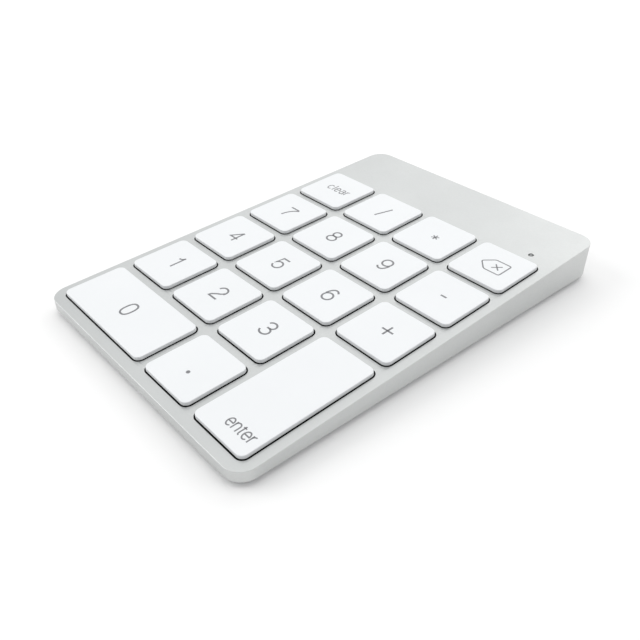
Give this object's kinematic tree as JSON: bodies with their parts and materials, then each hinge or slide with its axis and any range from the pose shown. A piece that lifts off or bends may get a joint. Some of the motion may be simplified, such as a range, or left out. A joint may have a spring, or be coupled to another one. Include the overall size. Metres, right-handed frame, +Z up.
{
  "type": "numeric keypad",
  "caption": "Slim wedge-shaped aluminium numeric keypad with low white scissor keys, a wide zero key, a tall enter key, and a blank strip with a status light along the back.",
  "frame": {"origin": "middle of the footprint, on the surface that the keypad stands on", "axes": "+X to the user's right, +Y away from the user towards the blank back strip, +Z up"},
  "size_m": [0.079, 0.1146, 0.0106],
  "materials": {
    "anodised_aluminium": "satin",
    "base_plastic": "matte",
    "key_plastic": "satin",
    "legend_ink": "matte",
    "lever_plastic": "satin",
    "silicone": "satin",
    "foot_rubber": "matte",
    "black_steel": "matte",
    "steel": "satin",
    "polyester_film": "satin",
    "circuit_board": "satin",
    "chip_plastic": "matte",
    "battery_foil": "satin",
    "black_plastic": "satin",
    "clear_plastic": "gloss"
  },
  "bodies": {
    "case": {"top_case": "anodised_aluminium", "bottom_cover": "base_plastic", "rubber_feet": "foot_rubber", "hinge_plate": "black_steel", "membrane_circuit": "polyester_film", "rubber_domes": "silicone", "deck_screws": "steel", "case_screws": "steel", "board_screws": "steel", "main_board": "circuit_board", "board_chips": "chip_plastic", "battery": "battery_foil", "battery_lead": "black_plastic", "membrane_connector": "lever_plastic", "charging_port_shell": "steel", "charging_port_tongue": "black_plastic", "power_switch": "steel", "pairing_switch": "steel", "status_led": "chip_plastic", "light_pipe": "clear_plastic", "lever_pair_0": "lever_plastic", "lever_pair_decimal": "lever_plastic", "lever_pair_enter": "lever_plastic", "lever_pair_1": "lever_plastic", "lever_pair_2": "lever_plastic", "lever_pair_3": "lever_plastic", "lever_pair_4": "lever_plastic", "lever_pair_5": "lever_plastic", "lever_pair_6": "lever_plastic", "lever_pair_plus": "lever_plastic", "lever_pair_7": "lever_plastic", "lever_pair_8": "lever_plastic", "lever_pair_9": "lever_plastic", "lever_pair_minus": "lever_plastic", "lever_pair_clear": "lever_plastic", "lever_pair_divide": "lever_plastic", "lever_pair_multiply": "lever_plastic", "lever_pair_backspace": "lever_plastic"},
    "enter_key_wire": {"enter_key_wire": "steel"},
    "key_0": {"key_0": "key_plastic"},
    "key_1": {"key_1": "key_plastic"},
    "key_2": {"key_2": "key_plastic"},
    "key_3": {"key_3": "key_plastic"},
    "key_4": {"key_4": "key_plastic"},
    "key_5": {"key_5": "key_plastic"},
    "key_6": {"key_6": "key_plastic"},
    "key_7": {"key_7": "key_plastic"},
    "key_8": {"key_8": "key_plastic"},
    "key_9": {"key_9": "key_plastic"},
    "key_backspace": {"key_backspace": "key_plastic"},
    "key_clear": {"key_clear": "key_plastic"},
    "key_decimal": {"key_decimal": "key_plastic"},
    "key_divide": {"key_divide": "key_plastic"},
    "key_enter": {"key_enter": "key_plastic"},
    "key_minus": {"key_minus": "key_plastic"},
    "key_multiply": {"key_multiply": "key_plastic"},
    "key_plus": {"key_plus": "key_plastic"},
    "pairing_button": {"pairing_button": "black_plastic"},
    "power_slider": {"power_slider": "black_plastic"},
    "zero_key_wire": {"zero_key_wire": "steel"}
  },
  "joints": [
    {"name": "key_0_press", "type": "slide", "parent": "case", "child": "key_0", "axis": [0, 0.0558, -0.9984], "range_m": [0, 0.00085], "stiffness_N_per_m": 250, "springref_m": -0.001, "deforming": ["lever_pair_0", "rubber_domes"]},
    {"name": "key_decimal_press", "type": "slide", "parent": "case", "child": "key_decimal", "axis": [0, 0.0558, -0.9984], "range_m": [0, 0.00085], "stiffness_N_per_m": 250, "springref_m": -0.001, "deforming": ["lever_pair_decimal", "rubber_domes"]},
    {"name": "key_enter_press", "type": "slide", "parent": "case", "child": "key_enter", "axis": [0, 0.0558, -0.9984], "range_m": [0, 0.00085], "stiffness_N_per_m": 250, "springref_m": -0.001, "deforming": ["lever_pair_enter", "rubber_domes"]},
    {"name": "key_1_press", "type": "slide", "parent": "case", "child": "key_1", "axis": [0, 0.0558, -0.9984], "range_m": [0, 0.00085], "stiffness_N_per_m": 250, "springref_m": -0.001, "deforming": ["lever_pair_1", "rubber_domes"]},
    {"name": "key_2_press", "type": "slide", "parent": "case", "child": "key_2", "axis": [0, 0.0558, -0.9984], "range_m": [0, 0.00085], "stiffness_N_per_m": 250, "springref_m": -0.001, "deforming": ["lever_pair_2", "rubber_domes"]},
    {"name": "key_3_press", "type": "slide", "parent": "case", "child": "key_3", "axis": [0, 0.0558, -0.9984], "range_m": [0, 0.00085], "stiffness_N_per_m": 250, "springref_m": -0.001, "deforming": ["lever_pair_3", "rubber_domes"]},
    {"name": "key_4_press", "type": "slide", "parent": "case", "child": "key_4", "axis": [0, 0.0558, -0.9984], "range_m": [0, 0.00085], "stiffness_N_per_m": 250, "springref_m": -0.001, "deforming": ["lever_pair_4", "rubber_domes"]},
    {"name": "key_5_press", "type": "slide", "parent": "case", "child": "key_5", "axis": [0, 0.0558, -0.9984], "range_m": [0, 0.00085], "stiffness_N_per_m": 250, "springref_m": -0.001, "deforming": ["lever_pair_5", "rubber_domes"]},
    {"name": "key_6_press", "type": "slide", "parent": "case", "child": "key_6", "axis": [0, 0.0558, -0.9984], "range_m": [0, 0.00085], "stiffness_N_per_m": 250, "springref_m": -0.001, "deforming": ["lever_pair_6", "rubber_domes"]},
    {"name": "key_plus_press", "type": "slide", "parent": "case", "child": "key_plus", "axis": [0, 0.0558, -0.9984], "range_m": [0, 0.00085], "stiffness_N_per_m": 250, "springref_m": -0.001, "deforming": ["lever_pair_plus", "rubber_domes"]},
    {"name": "key_7_press", "type": "slide", "parent": "case", "child": "key_7", "axis": [0, 0.0558, -0.9984], "range_m": [0, 0.00085], "stiffness_N_per_m": 250, "springref_m": -0.001, "deforming": ["lever_pair_7", "rubber_domes"]},
    {"name": "key_8_press", "type": "slide", "parent": "case", "child": "key_8", "axis": [0, 0.0558, -0.9984], "range_m": [0, 0.00085], "stiffness_N_per_m": 250, "springref_m": -0.001, "deforming": ["lever_pair_8", "rubber_domes"]},
    {"name": "key_9_press", "type": "slide", "parent": "case", "child": "key_9", "axis": [0, 0.0558, -0.9984], "range_m": [0, 0.00085], "stiffness_N_per_m": 250, "springref_m": -0.001, "deforming": ["lever_pair_9", "rubber_domes"]},
    {"name": "key_minus_press", "type": "slide", "parent": "case", "child": "key_minus", "axis": [0, 0.0558, -0.9984], "range_m": [0, 0.00085], "stiffness_N_per_m": 250, "springref_m": -0.001, "deforming": ["lever_pair_minus", "rubber_domes"]},
    {"name": "key_clear_press", "type": "slide", "parent": "case", "child": "key_clear", "axis": [0, 0.0558, -0.9984], "range_m": [0, 0.00085], "stiffness_N_per_m": 250, "springref_m": -0.001, "deforming": ["lever_pair_clear", "rubber_domes"]},
    {"name": "key_divide_press", "type": "slide", "parent": "case", "child": "key_divide", "axis": [0, 0.0558, -0.9984], "range_m": [0, 0.00085], "stiffness_N_per_m": 250, "springref_m": -0.001, "deforming": ["lever_pair_divide", "rubber_domes"]},
    {"name": "key_multiply_press", "type": "slide", "parent": "case", "child": "key_multiply", "axis": [0, 0.0558, -0.9984], "range_m": [0, 0.00085], "stiffness_N_per_m": 250, "springref_m": -0.001, "deforming": ["lever_pair_multiply", "rubber_domes"]},
    {"name": "key_backspace_press", "type": "slide", "parent": "case", "child": "key_backspace", "axis": [0, 0.0558, -0.9984], "range_m": [0, 0.00085], "stiffness_N_per_m": 250, "springref_m": -0.001, "deforming": ["lever_pair_backspace", "rubber_domes"]},
    {"name": "zero_wire_turn", "type": "hinge", "parent": "case", "child": "zero_key_wire", "pos_m": [-0.019, -0.04451, 0.00321], "axis": [-1, 0, 0], "range_deg": [0, 10.1]},
    {"name": "enter_wire_turn", "type": "hinge", "parent": "case", "child": "enter_key_wire", "pos_m": [0.0269, -0.0368, 0.00364], "axis": [0, -0.9984, -0.0558], "range_deg": [0, 10.1]},
    {"name": "power_slider_move", "type": "slide", "parent": "case", "child": "power_slider", "axis": [1, 0, 0], "range_m": [0, 0.002]},
    {"name": "pairing_button_press", "type": "slide", "parent": "case", "child": "pairing_button", "axis": [0, -1, 0], "range_m": [0, 0.0003], "stiffness_N_per_m": 1500, "springref_m": -0.0003}
  ],
  "couplings": [
    {"joint": "zero_wire_turn", "follows": "key_0_press", "rad_per_m": 206.07},
    {"joint": "enter_wire_turn", "follows": "key_enter_press", "rad_per_m": 206.07}
  ]
}
